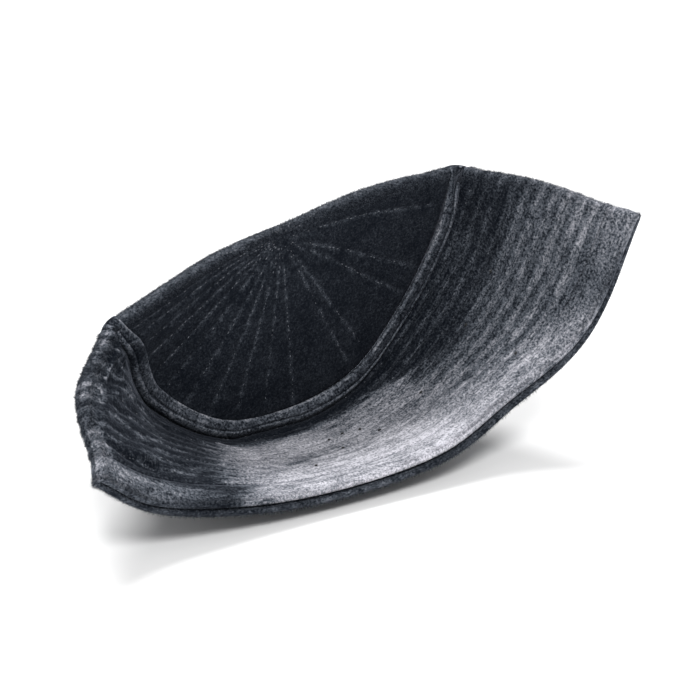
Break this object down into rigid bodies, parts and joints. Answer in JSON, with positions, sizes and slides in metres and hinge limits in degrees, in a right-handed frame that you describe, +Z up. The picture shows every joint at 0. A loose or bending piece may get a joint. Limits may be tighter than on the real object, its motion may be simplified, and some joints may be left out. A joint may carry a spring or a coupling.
{
  "type": "folded kufi cap",
  "caption": "Round velvet pillbox kufi with stitched rows, folded with one half pushed into the other so that it lies like a boat.",
  "frame": {"origin": "middle of the folded cap's box, on the surface it lies on", "axes": "+Z up from that surface, +X along the fold from the low end to the high end, +Y towards the crown"},
  "size_m": [0.2483, 0.1105, 0.1125],
  "materials": {
    "crown_velvet": "black short-pile velvet with radial stitching",
    "welt_velvet": "black velvet lip with a stitched line along each edge",
    "band_velvet": "black short-pile velvet with parallel stitched rows",
    "hem_velvet": "black velvet turned up into a smooth hem"
  },
  "bodies": {
    "root": {"crown": "crown_velvet", "seam_welt": "welt_velvet", "band": "band_velvet", "hem": "hem_velvet"}
  },
  "joints": []
}
